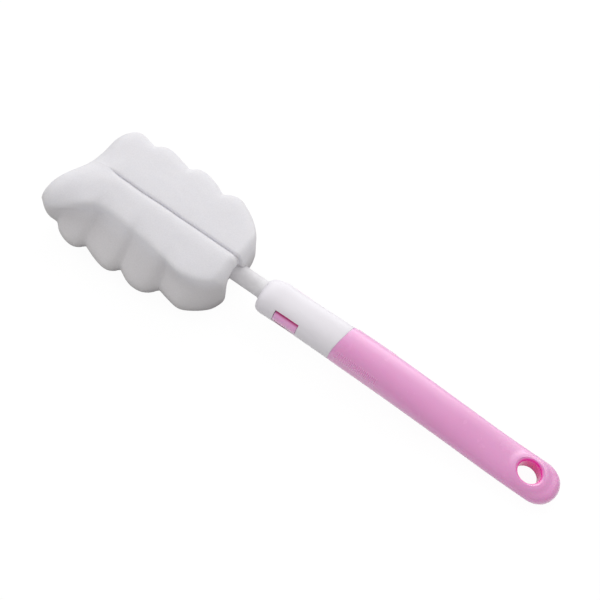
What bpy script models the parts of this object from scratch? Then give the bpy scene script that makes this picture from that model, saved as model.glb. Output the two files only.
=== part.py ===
"""Sponge cup brush with a head that comes off.

A scalloped foam head sits on the barbed core of a white stem. The stem is pressed into a white collar, and
the collar slides over the front end of a pink handle, where two sprung tongues snap into its windows.

The brush lies as it does on a table, on its sponge and on the end of its handle. +X runs from the sponge to
the end of the handle, +Y is across the brush and +Z is up. Lengths are in metres.

In the brush's own axes, before it is laid down, X is the brush axis and is zero at the seam between the
collar and the handle.
"""

import math

import bmesh
import bpy
from mathutils import Matrix, Vector

# Fits
SEAT_GAP = 0.0003
CUT_OVERRUN = 0.004

# Handle
HANDLE_LENGTH = 0.1303
HANDLE_FRONT_HALF_WIDTH = 0.0104
HANDLE_END_HALF_WIDTH = 0.0110
HANDLE_FRONT_HALF_THICKNESS = 0.0080
HANDLE_END_HALF_THICKNESS = 0.0043
HANDLE_TAPER_LENGTH = 0.108
HANDLE_EDGE_ROUNDING = 0.0040
HANGING_HOLE_RADIUS = 0.0065
HANGING_HOLE_TO_TIP = 0.0175
HANGING_HOLE_LIP = 0.0010
SEAM_SKEW = 0.0030
SECTION_SQUARENESS = 2.6
ROUND = 2

# Collar
COLLAR_LENGTH = 0.0482
COLLAR_HALF_WIDTH = 0.0104
COLLAR_HALF_THICKNESS = 0.0080
COLLAR_WALL = 0.0018
COLLAR_NOSE_LENGTH = 0.0085
COLLAR_SHOULDER_SWELL = 0.0006
COLLAR_NOSE_WALL = 0.0060
NOSE_FULLNESS_SHARE = 0.8
WINDOW_LENGTH = 0.0140
WINDOW_HEIGHT = 0.0090
WINDOW_TO_SEAM = 0.0217

# Stem
STEM_RADIUS = 0.0046
STEM_ROOT_RADIUS = 0.0050
STEM_ROOT_FLARE = 0.0050
STEM_ROOT_STRAIGHT_SHARE = 0.33
STEM_VISIBLE_LENGTH = 0.0140
STEM_PLUG_LENGTH = 0.0052
STEM_PLUG_RADIUS = 0.0040
CORE_RADIUS = 0.0026
CORE_LENGTH = 0.0820
BARB_RADIUS = 0.0040
BARB_LENGTH = 0.0060
BARB_COUNT = 9
BARB_SLOPE_SHARE = 0.67

# Sponge
SPONGE_LENGTH = 0.0995
SPONGE_HALF_WIDTH = 0.0340
SPONGE_HALF_THICKNESS = 0.0165
SPONGE_STEM_CORNER = 0.0220
SPONGE_FAR_CORNER = 0.0090
SPONGE_FAR_END_SLANT = 0.0045
SPONGE_SLANT_LENGTH = 0.0300
SPONGE_END_ROUNDING = 0.0080
SPONGE_SQUARENESS = 3.6
FIRST_NOTCH_TO_END = 0.0246
SCALLOP_PITCH = 0.0220
SCALLOP_DEPTH = 0.0044
NOTCH_COUNT = 3
SCALLOP_RIM_DIP_SHARE = 0.12
CREASE_HALF_THICKNESS = 0.0075
CREASE_HALF_WIDTH = 0.0085
CREASE_FADE_LENGTH = 0.0240
CREASE_FAR_HALF_THICKNESS = 0.0125
TABLE_FLAT_DEPTH = 0.0009

# Latch tongues
TONGUE_THICKNESS = 0.0020
TONGUE_SIDE_GAP = 0.0004
TONGUE_ROOT_TO_SEAM = 0.0045
TONGUE_TRAVEL_ROOM = 0.0036
BUTTON_RECESS = 0.0006
BUTTON_EDGE_ROUNDING = 0.0007
TANG_TO_COLLAR_NOSE = 0.0010
TANG_LEAD_IN = 0.0010

# Facets
HANDLE_SIDES = 40
HANDLE_GRIP_STEPS = 20
HANDLE_TIP_STEPS = 14
HOLE_SIDES = 40
HOLE_LIP_STEPS = 4
COLLAR_SIDES = 40
COLLAR_NOSE_STEPS = 7
COLLAR_SWELL_STEPS = 3
ROUND_SIDES = 24
TONGUE_CROWN_POINTS = 7
BUTTON_EDGE_STEPS = 2
SPONGE_SIDES = 48
SPONGE_END_STEPS = 5
SPONGE_RUN_STEPS = 36
SPONGE_CURVE_SAMPLES = 480
SMOOTH_UP_TO = math.radians(35)

# Worked out from the sizes above
COLLAR_FRONT_X = -COLLAR_LENGTH
SPONGE_STEM_END_X = COLLAR_FRONT_X - STEM_VISIBLE_LENGTH
SPONGE_FAR_END_X = SPONGE_STEM_END_X - SPONGE_LENGTH
SOCKET_FRONT_X = COLLAR_FRONT_X + COLLAR_NOSE_WALL
TANG_FRONT_X = SOCKET_FRONT_X + TANG_TO_COLLAR_NOSE
SOCKET_HALF_WIDTH = COLLAR_HALF_WIDTH - COLLAR_WALL
SOCKET_HALF_THICKNESS = COLLAR_HALF_THICKNESS - COLLAR_WALL
TANG_HALF_WIDTH = SOCKET_HALF_WIDTH - SEAT_GAP
TANG_HALF_THICKNESS = SOCKET_HALF_THICKNESS - SEAT_GAP
WINDOW_FRONT_X = -WINDOW_TO_SEAM - WINDOW_LENGTH
HOLE_X = HANDLE_LENGTH - HANGING_HOLE_TO_TIP
HOLE_MIDDLE_Z = HANDLE_END_HALF_THICKNESS - HANDLE_FRONT_HALF_THICKNESS
TONGUE_OUTER_Y = TANG_HALF_WIDTH
TONGUE_INNER_Y = TONGUE_OUTER_Y - TONGUE_THICKNESS
POCKET_FLOOR_Y = TONGUE_INNER_Y - TONGUE_TRAVEL_ROOM
TONGUE_HALF_HEIGHT = WINDOW_HEIGHT / 2 - TONGUE_SIDE_GAP
POCKET_HALF_HEIGHT = TONGUE_HALF_HEIGHT + SEAT_GAP
TONGUE_FRONT_X = WINDOW_FRONT_X + SEAT_GAP
TONGUE_ROOT_X = -TONGUE_ROOT_TO_SEAM

# How the brush lies: the sponge is thicker than the collar, so the axis leans down towards the handle's end
SPONGE_REST_X = SPONGE_STEM_END_X - SPONGE_END_ROUNDING
HANDLE_REST_X = HANDLE_LENGTH - HANDLE_EDGE_ROUNDING
LEAN_DROP = SPONGE_HALF_THICKNESS - TABLE_FLAT_DEPTH - HANDLE_FRONT_HALF_THICKNESS
LEAN = math.atan(LEAN_DROP / (HANDLE_REST_X - SPONGE_REST_X))


def clear_scene():
    """Empties the scene."""
    for thing in list(bpy.data.objects):
        bpy.data.objects.remove(thing, do_unlink=True)


def material(name, colour, roughness):
    """A plastic or foam finish."""
    made = bpy.data.materials.new(name)
    made.use_nodes = True
    shader = made.node_tree.nodes["Principled BSDF"]
    shader.inputs["Base Color"].default_value = (*colour, 1)
    shader.inputs["Roughness"].default_value = roughness
    shader.inputs["Metallic"].default_value = 0
    return made


def add_object(name, mesh_work, finish=None):
    """Makes an object of a bmesh and turns its faces outwards."""
    bmesh.ops.recalc_face_normals(mesh_work, faces=mesh_work.faces)
    mesh = bpy.data.meshes.new(name)
    mesh_work.to_mesh(mesh)
    mesh_work.free()
    made = bpy.data.objects.new(name, mesh)
    bpy.context.scene.collection.objects.link(made)
    if finish:
        mesh.materials.append(finish)
        mesh.shade_smooth()
        mesh.set_sharp_from_angle(angle=SMOOTH_UP_TO)
    return made


def loft(rings):
    """A closed solid through rings of equally many points, with a flat cap on each end."""
    work = bmesh.new()
    rows = [[work.verts.new(point) for point in ring] for ring in rings]
    for row, after in zip(rows, rows[1:]):
        for i, corner in enumerate(row):
            nxt = (i + 1) % len(row)
            work.faces.new((corner, row[nxt], after[nxt], after[i]))
    work.faces.new(rows[0])
    work.faces.new(rows[-1])
    return work


def oval(x, half_width, half_thickness, sides, squareness=SECTION_SQUARENESS, skew=0, middle_z=0):
    """A ring of points across the brush axis: an oval with full corners, leaned by skew at its sides."""
    ring = []
    for i in range(sides):
        turn = math.tau * (i + 0.5) / sides
        across = math.copysign(abs(math.cos(turn)) ** (2 / squareness), math.cos(turn))
        up = math.copysign(abs(math.sin(turn)) ** (2 / squareness), math.sin(turn))
        ring.append(Vector((x + skew * across / 2, half_width * across, middle_z + half_thickness * up)))
    return ring


def turned(profile, sides):
    """A closed solid turned about the brush axis from (x, radius) points, with flat ends."""
    return loft([oval(x, radius, radius, sides, squareness=ROUND) for x, radius in profile])


def block(low, high):
    """A box between two corners."""
    work = bmesh.new()
    bmesh.ops.create_cube(work, size=1)
    size = Vector(high) - Vector(low)
    middle = (Vector(high) + Vector(low)) / 2
    placed = Matrix.Translation(middle) @ Matrix.Diagonal((*size, 1))
    bmesh.ops.transform(work, matrix=placed, verts=work.verts)
    return work


def cutter(name, mesh_work, parent):
    """An object that only cuts others."""
    made = add_object(name, mesh_work)
    made.parent = parent
    made.hide_render = True
    made.display_type = "WIRE"
    return made


def boolean(target, tool, operation="DIFFERENCE"):
    """Cuts the tool from the target, or joins the two."""
    change = target.modifiers.new(tool.name, "BOOLEAN")
    change.operation = operation
    change.solver = "EXACT"
    change.object = tool


def ease(share):
    """Rises smoothly from 0 to 1 as the share does."""
    share = min(max(share, 0), 1)
    return share * share * (3 - 2 * share)


def rounded_end(full, radius, distance):
    """The half size at a distance from an end whose corner has this radius."""
    if distance >= radius:
        return full
    return full - radius + math.sqrt(max(radius**2 - (radius - distance) ** 2, 0))


def handle_half_thickness(x):
    """Half the handle's thickness, from the full front to the flat end."""
    fall = ease(x / HANDLE_TAPER_LENGTH)
    return HANDLE_FRONT_HALF_THICKNESS + fall * (HANDLE_END_HALF_THICKNESS - HANDLE_FRONT_HALF_THICKNESS)


def handle_half_width(x):
    """Half the handle's width, which grows a little towards the hole."""
    growth = min(x / HOLE_X, 1)
    return HANDLE_FRONT_HALF_WIDTH + growth * (HANDLE_END_HALF_WIDTH - HANDLE_FRONT_HALF_WIDTH)


def handle_rings():
    """Rings along the grip, from the seam to the rounded tip, with a straight underside."""
    start = SEAT_GAP / 2
    tip_start = HANDLE_LENGTH - HANDLE_END_HALF_WIDTH
    grip = tip_start - start
    stations = [start + grip * i / HANDLE_GRIP_STEPS for i in range(HANDLE_GRIP_STEPS)]
    for i in range(HANDLE_TIP_STEPS):
        turn = math.pi / 2 * i / HANDLE_TIP_STEPS
        stations.append(tip_start + HANDLE_END_HALF_WIDTH * math.sin(turn))
    rings = []
    for x in stations:
        width = rounded_end(handle_half_width(x), HANDLE_END_HALF_WIDTH, HANDLE_LENGTH - x)
        thickness = rounded_end(handle_half_thickness(x), HANDLE_EDGE_ROUNDING, HANDLE_LENGTH - x)
        skew = SEAM_SKEW * (1 - ease(x / HANDLE_FRONT_HALF_WIDTH))
        middle_z = handle_half_thickness(x) - HANDLE_FRONT_HALF_THICKNESS
        rings.append(oval(x, width, thickness, HANDLE_SIDES, skew=skew, middle_z=middle_z))
    return rings


def tang():
    """The part of the handle inside the collar, with a tapered lead-in."""
    lead_width = TANG_HALF_WIDTH - TANG_LEAD_IN
    lead_thickness = TANG_HALF_THICKNESS - TANG_LEAD_IN
    rings = [
        oval(TANG_FRONT_X, lead_width, lead_thickness, COLLAR_SIDES),
        oval(TANG_FRONT_X + TANG_LEAD_IN, TANG_HALF_WIDTH, TANG_HALF_THICKNESS, COLLAR_SIDES),
        oval(HANDLE_FRONT_HALF_WIDTH, TANG_HALF_WIDTH, TANG_HALF_THICKNESS, COLLAR_SIDES),
    ]
    return loft(rings)


def tongue_pocket(side):
    """The room a latch tongue is pressed into, open to its side of the tang."""
    low_y, high_y = sorted((side * POCKET_FLOOR_Y, side * (TANG_HALF_WIDTH + CUT_OVERRUN)))
    low = (TANG_FRONT_X - CUT_OVERRUN, low_y, -POCKET_HALF_HEIGHT)
    high = (TONGUE_ROOT_X + SEAT_GAP, high_y, POCKET_HALF_HEIGHT)
    return block(low, high)


def hanging_hole():
    """The round hole through the handle's end, with a rounded lip on both faces."""
    face = HANDLE_END_HALF_THICKNESS
    lip = HANGING_HOLE_LIP
    profile = [(-face - CUT_OVERRUN, HANGING_HOLE_RADIUS + lip + CUT_OVERRUN)]
    for i in range(HOLE_LIP_STEPS + 1):
        turn = math.pi / 2 * i / HOLE_LIP_STEPS
        inward = lip * (1 - math.sin(turn))
        profile.append((-face + lip * (1 - math.cos(turn)), HANGING_HOLE_RADIUS + inward))
    profile += [(-depth, radius) for depth, radius in reversed(profile)]
    hole = turned(profile, HOLE_SIDES)
    upright = Matrix.Translation((HOLE_X, 0, HOLE_MIDDLE_Z)) @ Matrix.Rotation(math.pi / 2, 4, "Y")
    bmesh.ops.transform(hole, matrix=upright, verts=hole.verts)
    return hole


def make_handle(brush, finish):
    """The moulded grip with its hanging hole, and the tang that goes into the collar."""
    handle = add_object("handle", loft(handle_rings()), finish)
    handle.parent = brush
    boolean(handle, cutter("tang", tang(), brush), "UNION")
    boolean(handle, cutter("tongue_pocket_near", tongue_pocket(-1), brush))
    boolean(handle, cutter("tongue_pocket_far", tongue_pocket(1), brush))
    boolean(handle, cutter("hanging_hole", hanging_hole(), brush))
    return handle


def collar_rings():
    """Rings along the outside of the collar, from its nose to the seam."""
    nose = COLLAR_NOSE_LENGTH
    swell = COLLAR_SHOULDER_SWELL
    grown = STEM_ROOT_RADIUS + SEAT_GAP
    rings = []
    for i in range(COLLAR_NOSE_STEPS + 1):
        turn = math.pi / 2 * i / COLLAR_NOSE_STEPS
        x = COLLAR_FRONT_X + nose * (1 - math.cos(turn))
        full = math.sin(turn) ** NOSE_FULLNESS_SHARE
        width = grown + (COLLAR_HALF_WIDTH + swell - grown) * full
        thickness = grown + (COLLAR_HALF_THICKNESS + swell - grown) * full
        squareness = ROUND + (SECTION_SQUARENESS - ROUND) * math.sin(turn)
        rings.append(oval(x, width, thickness, COLLAR_SIDES, squareness=squareness))
    for i in range(1, COLLAR_SWELL_STEPS + 1):
        share = i / COLLAR_SWELL_STEPS
        x = COLLAR_FRONT_X + nose + nose * share
        extra = swell * (1 - ease(share))
        rings.append(oval(x, COLLAR_HALF_WIDTH + extra, COLLAR_HALF_THICKNESS + extra, COLLAR_SIDES))
    seam = oval(-SEAT_GAP / 2, COLLAR_HALF_WIDTH, COLLAR_HALF_THICKNESS, COLLAR_SIDES, skew=SEAM_SKEW)
    return [*rings, seam]


def make_collar(brush, finish):
    """The white socket with a window on each side for the latch buttons."""
    collar = add_object("head_collar", loft(collar_rings()), finish)
    collar.parent = brush
    socket = [
        oval(SOCKET_FRONT_X, SOCKET_HALF_WIDTH, SOCKET_HALF_THICKNESS, COLLAR_SIDES),
        oval(CUT_OVERRUN, SOCKET_HALF_WIDTH, SOCKET_HALF_THICKNESS, COLLAR_SIDES),
    ]
    boolean(collar, cutter("collar_socket", loft(socket), brush))
    seat_radius = STEM_PLUG_RADIUS + SEAT_GAP
    seat = [(COLLAR_FRONT_X - CUT_OVERRUN, seat_radius), (SOCKET_FRONT_X + CUT_OVERRUN, seat_radius)]
    boolean(collar, cutter("stem_seat", turned(seat, ROUND_SIDES), brush))
    low = (WINDOW_FRONT_X, -COLLAR_HALF_WIDTH - CUT_OVERRUN, -WINDOW_HEIGHT / 2)
    high = (WINDOW_FRONT_X + WINDOW_LENGTH, COLLAR_HALF_WIDTH + CUT_OVERRUN, WINDOW_HEIGHT / 2)
    boolean(collar, cutter("latch_windows", block(low, high), brush))
    return collar


def make_stem(brush, finish):
    """The white stem: a plug in the collar, the bare round stretch and the barbed core inside the foam."""
    plug_end = COLLAR_FRONT_X + STEM_PLUG_LENGTH
    shoulder = COLLAR_FRONT_X - SEAT_GAP
    profile = [
        (plug_end, STEM_PLUG_RADIUS),
        (shoulder, STEM_PLUG_RADIUS),
        (shoulder, STEM_ROOT_RADIUS),
        (shoulder - STEM_ROOT_FLARE * STEM_ROOT_STRAIGHT_SHARE, STEM_ROOT_RADIUS),
        (shoulder - STEM_ROOT_FLARE, STEM_RADIUS),
    ]
    core_start = SPONGE_STEM_END_X - BARB_LENGTH
    profile += [(core_start, STEM_RADIUS), (core_start, CORE_RADIUS)]
    barbs_start = core_start - BARB_LENGTH
    core_end = SPONGE_STEM_END_X - CORE_LENGTH
    pitch = (barbs_start - core_end) / BARB_COUNT
    for i in range(BARB_COUNT):
        back = barbs_start - i * pitch
        slope_end = back - pitch * BARB_SLOPE_SHARE
        profile += [(back, CORE_RADIUS), (back, BARB_RADIUS), (slope_end, CORE_RADIUS)]
    profile.append((core_end, CORE_RADIUS / 2))
    stem = add_object("head_stem", turned(profile, ROUND_SIDES), finish)
    stem.parent = brush
    return stem


def scallop(u):
    """How far the scalloped edge is drawn in, as a share of its depth: 1 at a notch and 0 on a crest."""
    first = FIRST_NOTCH_TO_END
    last = first + SCALLOP_PITCH * (NOTCH_COUNT - 1)
    if u < first - SCALLOP_PITCH / 2 or u > last + SCALLOP_PITCH / 2:
        return 0
    return 1 - abs(math.sin(math.pi * (u - first) / SCALLOP_PITCH))


def sponge_half_width(u):
    """Half the sponge's width at a distance from its far end."""
    width = rounded_end(SPONGE_HALF_WIDTH, SPONGE_FAR_CORNER, u)
    width = min(width, rounded_end(SPONGE_HALF_WIDTH, SPONGE_STEM_CORNER, SPONGE_LENGTH - u))
    return width - SCALLOP_DEPTH * scallop(u)


def sponge_half_thickness(u):
    """Half the sponge's thickness on its crowns at a distance from its far end."""
    thickness = rounded_end(SPONGE_HALF_THICKNESS, SPONGE_END_ROUNDING, u)
    return min(thickness, rounded_end(SPONGE_HALF_THICKNESS, SPONGE_END_ROUNDING, SPONGE_LENGTH - u))


def sponge_curve(u):
    """A finely sampled section of the sponge: two crowned lobes with a crease between them."""
    width = sponge_half_width(u)
    thickness = sponge_half_thickness(u)
    fade = ease(u / CREASE_FADE_LENGTH)
    crease = CREASE_FAR_HALF_THICKNESS + fade * (CREASE_HALF_THICKNESS - CREASE_FAR_HALF_THICKNESS)
    crease_share = min(crease / thickness, 1)
    dip = SCALLOP_RIM_DIP_SHARE * scallop(u)
    points = oval(SPONGE_FAR_END_X + u, width, thickness, SPONGE_CURVE_SAMPLES, SPONGE_SQUARENESS)
    slant = SPONGE_FAR_END_SLANT * (1 - ease(u / SPONGE_SLANT_LENGTH))
    for point in points:
        point.x += slant * point.y / SPONGE_HALF_WIDTH
        out = abs(point.y) / CREASE_HALF_WIDTH
        risen = crease_share + (1 - crease_share) * math.sin(math.pi / 2 * min(out, 1))
        point.z *= risen * (1 - dip * (point.y / width) ** 2)
    return points


def sponge_ring(u):
    """The section's points, evenly spaced from the middle of its top face."""
    curve = sponge_curve(u)
    start = SPONGE_CURVE_SAMPLES // 4
    curve = curve[start:] + curve[:start]
    curve[0].y = 0
    lengths = [0]
    for point, after in zip(curve, [*curve[1:], curve[0]]):
        lengths.append(lengths[-1] + (after - point).length)
    ring = []
    at = 0
    for i in range(SPONGE_SIDES):
        wanted = lengths[-1] * i / SPONGE_SIDES
        while lengths[at + 1] < wanted:
            at += 1
        share = (wanted - lengths[at]) / (lengths[at + 1] - lengths[at])
        ring.append(curve[at].lerp(curve[(at + 1) % len(curve)], share))
    return ring


def sponge_stations():
    """Distances from the far end at which the sponge has a section, closer together at its ends."""
    rounding = SPONGE_END_ROUNDING
    run = SPONGE_LENGTH - rounding - rounding
    turns = [math.pi / 2 * i / SPONGE_END_STEPS for i in range(SPONGE_END_STEPS)]
    far = [rounding * (1 - math.cos(turn)) for turn in turns]
    middle = [rounding + run * i / SPONGE_RUN_STEPS for i in range(SPONGE_RUN_STEPS + 1)]
    near = [SPONGE_LENGTH - distance for distance in reversed(far)]
    return far + middle + near


def make_sponge(brush, finish):
    """The foam head, bored for the core."""
    sponge = add_object("sponge_head", loft([sponge_ring(u) for u in sponge_stations()]), finish)
    sponge.parent = brush
    neck_end = SPONGE_STEM_END_X - BARB_LENGTH - SEAT_GAP
    bore_end = SPONGE_STEM_END_X - CORE_LENGTH - SEAT_GAP
    bore = [
        (SPONGE_STEM_END_X + CUT_OVERRUN, STEM_RADIUS + SEAT_GAP),
        (neck_end, STEM_RADIUS + SEAT_GAP),
        (neck_end, BARB_RADIUS + SEAT_GAP),
        (bore_end, BARB_RADIUS + SEAT_GAP),
    ]
    boolean(sponge, cutter("core_bore", turned(bore, ROUND_SIDES), brush))
    return sponge


def tongue_section(x, half_width, half_thickness, side):
    """A section of a latch tongue: flat inside and on its edges, crowned outside like the wall beside it."""
    inner = side * TONGUE_INNER_Y
    ring = [Vector((x, inner, -TONGUE_HALF_HEIGHT)), Vector((x, inner, TONGUE_HALF_HEIGHT))]
    for i in range(TONGUE_CROWN_POINTS):
        z = TONGUE_HALF_HEIGHT * (1 - 2 * i / (TONGUE_CROWN_POINTS - 1))
        full = (1 - (abs(z) / half_thickness) ** SECTION_SQUARENESS) ** (1 / SECTION_SQUARENESS)
        ring.append(Vector((x, side * half_width * full, z)))
    return ring


def tongue_rings(side):
    """Sections along a latch tongue: the button with rounded edges, then the arm to its root."""
    top = COLLAR_HALF_WIDTH - BUTTON_RECESS
    edge = BUTTON_EDGE_ROUNDING
    button_end_x = WINDOW_FRONT_X + WINDOW_LENGTH - SEAT_GAP - SEAT_GAP
    front = []
    back = []
    for i in range(BUTTON_EDGE_STEPS + 1):
        turn = math.pi / 2 * i / BUTTON_EDGE_STEPS
        inset = edge * (1 - math.cos(turn))
        half_width = top - edge * (1 - math.sin(turn))
        front.append(tongue_section(TONGUE_FRONT_X + inset, half_width, COLLAR_HALF_THICKNESS, side))
        back.append(tongue_section(button_end_x - inset, half_width, COLLAR_HALF_THICKNESS, side))
    arm = [
        tongue_section(button_end_x + SEAT_GAP, TONGUE_OUTER_Y, TANG_HALF_THICKNESS, side),
        tongue_section(TONGUE_ROOT_X, TONGUE_OUTER_Y, TANG_HALF_THICKNESS, side),
    ]
    return front + back[::-1] + arm


def make_tongue(brush, name, side, finish):
    """A latch tongue, with its origin where its arm bends."""
    bend_y = side * (TONGUE_OUTER_Y - TONGUE_THICKNESS / 2)
    hinge = Vector((TONGUE_ROOT_X - TONGUE_THICKNESS / 2, bend_y, 0))
    work = loft(tongue_rings(side))
    bmesh.ops.transform(work, matrix=Matrix.Translation(-hinge), verts=work.verts)
    tongue = add_object(name, work, finish)
    tongue.parent = brush
    tongue.location = hinge
    return tongue


def lay_on_table():
    """The empty that carries the brush, placed so that the sponge and the handle's end touch z = 0."""
    brush = bpy.data.objects.new("brush_axis", None)
    bpy.context.scene.collection.objects.link(brush)
    slant = SPONGE_FAR_END_SLANT * (1 - SPONGE_FAR_CORNER / SPONGE_HALF_WIDTH)
    far_x = (SPONGE_FAR_END_X - slant) * math.cos(LEAN)
    end_x = HANDLE_LENGTH * math.cos(LEAN) - HANDLE_FRONT_HALF_THICKNESS * math.sin(LEAN)
    height = HANDLE_FRONT_HALF_THICKNESS * math.cos(LEAN) + HANDLE_REST_X * math.sin(LEAN)
    brush.location = (-(far_x + end_x) / 2, 0, height)
    brush.rotation_euler = (0, LEAN, 0)
    return brush


def press_flat(sponge):
    """Flattens the foam where it rests on the table."""
    reach = SPONGE_LENGTH + HANDLE_LENGTH
    table = block((-reach, -reach, -SPONGE_HALF_THICKNESS), (reach, reach, 0))
    boolean(sponge, cutter("table_top", table, None))


def main():
    clear_scene()
    brush = lay_on_table()
    pink = (0.80, 0.36, 0.60)
    white = (0.86, 0.86, 0.88)
    foam = (0.84, 0.84, 0.85)
    make_handle(brush, material("handle_pink", pink, 0.25))
    make_collar(brush, material("collar_white", white, 0.35))
    make_stem(brush, material("stem_white", white, 0.45))
    press_flat(make_sponge(brush, material("sponge_foam", foam, 0.95)))
    make_tongue(brush, "latch_tongue_near", -1, material("tongue_near_pink", pink, 0.25))
    make_tongue(brush, "latch_tongue_far", 1, material("tongue_far_pink", pink, 0.25))


main()
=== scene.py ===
import math

import bmesh
import bpy
from mathutils import Matrix, Vector, noise


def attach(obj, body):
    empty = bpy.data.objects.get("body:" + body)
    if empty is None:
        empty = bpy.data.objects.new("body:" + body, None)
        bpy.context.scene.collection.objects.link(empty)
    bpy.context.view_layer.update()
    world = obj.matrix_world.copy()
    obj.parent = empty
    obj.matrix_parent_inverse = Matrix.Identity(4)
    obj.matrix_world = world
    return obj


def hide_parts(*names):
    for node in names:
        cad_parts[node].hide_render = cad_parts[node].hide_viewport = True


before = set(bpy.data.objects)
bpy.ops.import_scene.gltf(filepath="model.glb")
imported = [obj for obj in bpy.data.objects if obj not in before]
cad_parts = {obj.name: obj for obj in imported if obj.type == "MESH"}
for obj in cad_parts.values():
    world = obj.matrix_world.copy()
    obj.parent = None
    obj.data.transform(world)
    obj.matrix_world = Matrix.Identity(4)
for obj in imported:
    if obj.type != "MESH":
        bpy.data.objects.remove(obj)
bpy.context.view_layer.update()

# How the brush lies
# The brush is drawn along its own axis, with x = 0 at the seam between collar and handle, and then laid
# down as on a table: on the foam and on the end of the handle, leaning a little towards the handle's end.
LEAN = 0.0386576
SEAM_PLACE = (0.0174960, 0, 0.0128753)
LAID_DOWN = Matrix.Translation(SEAM_PLACE) @ Matrix.Rotation(LEAN, 4, "Y")


# Handle
# One moulding of glossy pink plastic: a grip that flattens towards its hanging hole, a fine-ribbed patch on
# each side for the fingertips, and a tang with room for the two latch tongues that goes into the collar.
def ease(share):
    """Rises smoothly from 0 to 1 as the share does."""
    share = min(max(share, 0), 1)
    return share * share * (3 - 2 * share)


def rounded_end(full, radius, distance):
    """The half size at a distance from an end whose corner has this radius."""
    if distance >= radius:
        return full
    return full - radius + math.sqrt(max(radius**2 - (radius - distance) ** 2, 0))


def drum(sides, rows):
    """A closed drum cut into rows, and its points by side and row."""
    work = bmesh.new()
    bmesh.ops.create_cone(work, cap_ends=True, segments=sides, radius1=1, radius2=1, depth=1)
    uprights = [e for e in work.edges if abs(e.verts[0].co.z - e.verts[1].co.z) > 0.5]
    bmesh.ops.subdivide_edges(work, edges=uprights, cuts=rows - 2, use_grid_fill=True)
    points = {}
    for corner in work.verts:
        turn = math.atan2(corner.co.y, corner.co.x) / math.tau
        points[round(turn * sides) % sides, round((corner.co.z + 0.5) * (rows - 1))] = corner
    return work, points


ROUND = 2
SQUARENESS = 2.6


def oval_point(x, half_width, half_thickness, turn, squareness=SQUARENESS, skew=0, middle_z=0):
    """A point on an oval section with full corners, leaned along the brush by skew at its sides."""
    across = math.copysign(abs(math.cos(turn)) ** (2 / squareness), math.cos(turn))
    up = math.copysign(abs(math.sin(turn)) ** (2 / squareness), math.sin(turn))
    return Vector((x + skew * across / 2, half_width * across, middle_z + half_thickness * up))


SHARP_ANGLE = math.radians(40)


def to_object(name, work, finish=None, smooth_up_to=SHARP_ANGLE):
    """Lays a shape down, makes it an object and gives it a smooth skin and its finish."""
    bmesh.ops.transform(work, matrix=LAID_DOWN, verts=work.verts)
    bmesh.ops.recalc_face_normals(work, faces=work.faces)
    mesh = bpy.data.meshes.new(name)
    work.to_mesh(mesh)
    work.free()
    made = bpy.data.objects.new(name, mesh)
    bpy.context.scene.collection.objects.link(made)
    if finish:
        mesh.materials.append(finish)
    mesh.shade_smooth()
    mesh.set_sharp_from_angle(angle=smooth_up_to)
    return made


MERGE_DISTANCE = 0.000001


def cut(target, tool):
    """Cuts the tool from the target for good, removes the tool and closes the slivers that the cut leaves."""
    change = target.modifiers.new("cut", "BOOLEAN")
    change.operation = "DIFFERENCE"
    change.solver = "EXACT"
    change.object = tool
    graph = bpy.context.evaluated_depsgraph_get()
    cut_mesh = bpy.data.meshes.new_from_object(target.evaluated_get(graph), depsgraph=graph)
    target.modifiers.clear()
    work = bmesh.new()
    work.from_mesh(cut_mesh)
    bmesh.ops.remove_doubles(work, verts=work.verts, dist=MERGE_DISTANCE)
    bmesh.ops.dissolve_degenerate(work, edges=work.edges, dist=MERGE_DISTANCE)
    work.to_mesh(cut_mesh)
    work.free()
    target.data = cut_mesh
    bpy.data.objects.remove(tool, do_unlink=True)


def block(low, high):
    """A box between two corners."""
    work = bmesh.new()
    bmesh.ops.create_cube(work, size=1)
    size = Vector(high) - Vector(low)
    middle = (Vector(high) + Vector(low)) / 2
    placed = Matrix.Translation(middle) @ Matrix.Diagonal((*size, 1))
    bmesh.ops.transform(work, matrix=placed, verts=work.verts)
    return work


def finish_nodes(name, colour, roughness):
    """A new finish, with its nodes, its links and its shader."""
    made = bpy.data.materials.new(name)
    made.use_nodes = True
    tree = made.node_tree
    shader = tree.nodes["Principled BSDF"]
    shader.inputs["Base Color"].default_value = (*colour, 1)
    shader.inputs["Roughness"].default_value = roughness
    return made, tree, shader


def object_place(tree):
    """The place on the object, in metres."""
    return tree.nodes.new("ShaderNodeTexCoord").outputs["Object"]


def object_axes(tree):
    """The place on the object, with a socket for each axis."""
    made = tree.nodes.new("ShaderNodeSeparateXYZ")
    tree.links.new(object_place(tree), made.inputs[0])
    return made.outputs


def worked_out(tree, operation, *values):
    """The result of a sum or the like on sockets and numbers."""
    made = tree.nodes.new("ShaderNodeMath")
    made.operation = operation
    for socket, value in zip(made.inputs, values):
        if isinstance(value, float):
            socket.default_value = value
        else:
            tree.links.new(value, socket)
    return made.outputs[0]


def share_between(tree, source, low, high):
    """How far the source is on its way from low to high, from 0 to 1."""
    made = tree.nodes.new("ShaderNodeMapRange")
    made.inputs["From Min"].default_value = low
    made.inputs["From Max"].default_value = high
    tree.links.new(source, made.inputs["Value"])
    return made.outputs["Result"]


def grain(tree, scale, detail=3.0, roughness=0.5):
    """Noise over the object, in waves per metre."""
    made = tree.nodes.new("ShaderNodeTexNoise")
    made.inputs["Scale"].default_value = scale
    made.inputs["Detail"].default_value = detail
    made.inputs["Roughness"].default_value = roughness
    tree.links.new(object_place(tree), made.inputs["Vector"])
    return made.outputs["Fac"]


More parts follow.
